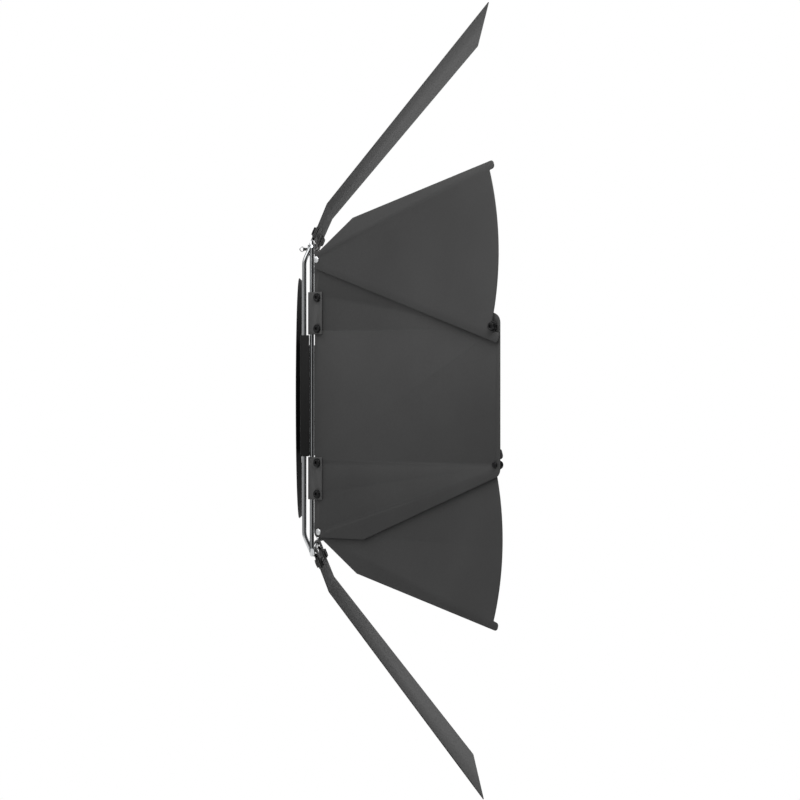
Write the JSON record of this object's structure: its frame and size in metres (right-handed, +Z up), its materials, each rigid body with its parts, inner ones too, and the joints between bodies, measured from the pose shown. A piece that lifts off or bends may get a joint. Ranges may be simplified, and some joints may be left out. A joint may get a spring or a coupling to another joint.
{
  "type": "barn door attachment",
  "caption": "Barn door for a stage light: ring plate and rod frame with four friction-hinged leaves, swing-out ears on the side leaves, a filter slot and its latch.",
  "frame": {"origin": "centre of the ring plate, on the plane of its rear rim, where the light's accessory holder has it", "axes": "+X along the light's axis towards the beam, +Z up, -Y the right side seen from behind the light"},
  "size_m": [0.1975, 0.691, 0.7696],
  "materials": {
    "black_sheet": "satin black powder coat",
    "ring_black": "matte black powder coat",
    "plated_rod": "bright zinc plate",
    "black_bolt": "black oxide, glossy",
    "rivet": "bare",
    "friction_washer": "black fibre"
  },
  "bodies": {
    "frame": {"ring_plate": "ring_black", "front_frame_rod": "plated_rod", "rear_rod_right": "plated_rod", "rear_rod_left": "plated_rod", "side_bracket_right": "black_sheet", "side_bracket_left": "black_sheet"},
    "latch": {"filter_latch": "black_sheet", "latch_loop": "plated_rod"},
    "top_leaf": {"top_leaf": "black_sheet", "top_strap_a": "black_sheet", "top_strap_b": "black_sheet", "top_strap_bolt_1": "black_bolt", "top_strap_bolt_2": "black_bolt", "top_strap_bolt_3": "black_bolt", "top_strap_bolt_4": "black_bolt"},
    "bottom_leaf": {"bottom_leaf": "black_sheet", "bottom_strap_a": "black_sheet", "bottom_strap_b": "black_sheet", "bottom_strap_bolt_1": "black_bolt", "bottom_strap_bolt_2": "black_bolt", "bottom_strap_bolt_3": "black_bolt", "bottom_strap_bolt_4": "black_bolt"},
    "right_upper_ear": {"right_upper_ear": "black_sheet"},
    "right_lower_ear": {"right_lower_ear": "black_sheet"},
    "right_leaf": {"right_leaf": "black_sheet", "right_strap_a": "black_sheet", "right_strap_b": "black_sheet", "right_strap_bolt_1": "black_bolt", "right_strap_bolt_2": "black_bolt", "right_strap_bolt_3": "black_bolt", "right_strap_bolt_4": "black_bolt", "right_upper_ear_washer": "friction_washer", "right_upper_ear_rivet": "rivet", "right_upper_ear_guide_screw": "black_bolt", "right_lower_ear_washer": "friction_washer", "right_lower_ear_rivet": "rivet", "right_lower_ear_guide_screw": "black_bolt"},
    "left_upper_ear": {"left_upper_ear": "black_sheet"},
    "left_lower_ear": {"left_lower_ear": "black_sheet"},
    "left_leaf": {"left_leaf": "black_sheet", "left_strap_a": "black_sheet", "left_strap_b": "black_sheet", "left_strap_bolt_1": "black_bolt", "left_strap_bolt_2": "black_bolt", "left_strap_bolt_3": "black_bolt", "left_strap_bolt_4": "black_bolt", "left_upper_ear_washer": "friction_washer", "left_upper_ear_rivet": "rivet", "left_upper_ear_guide_screw": "black_bolt", "left_lower_ear_washer": "friction_washer", "left_lower_ear_rivet": "rivet", "left_lower_ear_guide_screw": "black_bolt"}
  },
  "joints": [
    {"name": "top_leaf_hinge", "type": "hinge", "parent": "frame", "child": "top_leaf", "pos_m": [0.0167, 0, 0.153], "axis": [0, -1, 0], "range_deg": [-50, 39]},
    {"name": "bottom_leaf_hinge", "type": "hinge", "parent": "frame", "child": "bottom_leaf", "pos_m": [0.0167, 0, -0.153], "axis": [0, 1, 0], "range_deg": [-51, 37]},
    {"name": "right_leaf_hinge", "type": "hinge", "parent": "frame", "child": "right_leaf", "pos_m": [0.0167, -0.153, 0], "axis": [0, 0, -1], "range_deg": [-36, 43]},
    {"name": "left_leaf_hinge", "type": "hinge", "parent": "frame", "child": "left_leaf", "pos_m": [0.0167, 0.153, 0], "axis": [0, 0, 1], "range_deg": [-36, 43]},
    {"name": "right_upper_ear_pivot", "type": "hinge", "parent": "right_leaf", "child": "right_upper_ear", "pos_m": [0.02496, -0.1617, 0.135], "axis": [-0.7254, -0.6884, 0], "range_deg": [-32, 0]},
    {"name": "right_lower_ear_pivot", "type": "hinge", "parent": "right_leaf", "child": "right_lower_ear", "pos_m": [0.02496, -0.1617, -0.1302], "axis": [0.7254, 0.6884, 0], "range_deg": [-32, 0]},
    {"name": "left_lower_ear_pivot", "type": "hinge", "parent": "left_leaf", "child": "left_lower_ear", "pos_m": [0.02496, 0.1617, -0.135], "axis": [-0.7254, 0.6884, 0], "range_deg": [-32, 0]},
    {"name": "left_upper_ear_pivot", "type": "hinge", "parent": "left_leaf", "child": "left_upper_ear", "pos_m": [0.02496, 0.1617, 0.1302], "axis": [0.7254, -0.6884, 0], "range_deg": [-32, 0]},
    {"name": "latch_hinge", "type": "hinge", "parent": "frame", "child": "latch", "pos_m": [0.0167, 0, 0.153], "axis": [0, 1, 0], "range_deg": [0, 140]}
  ]
}
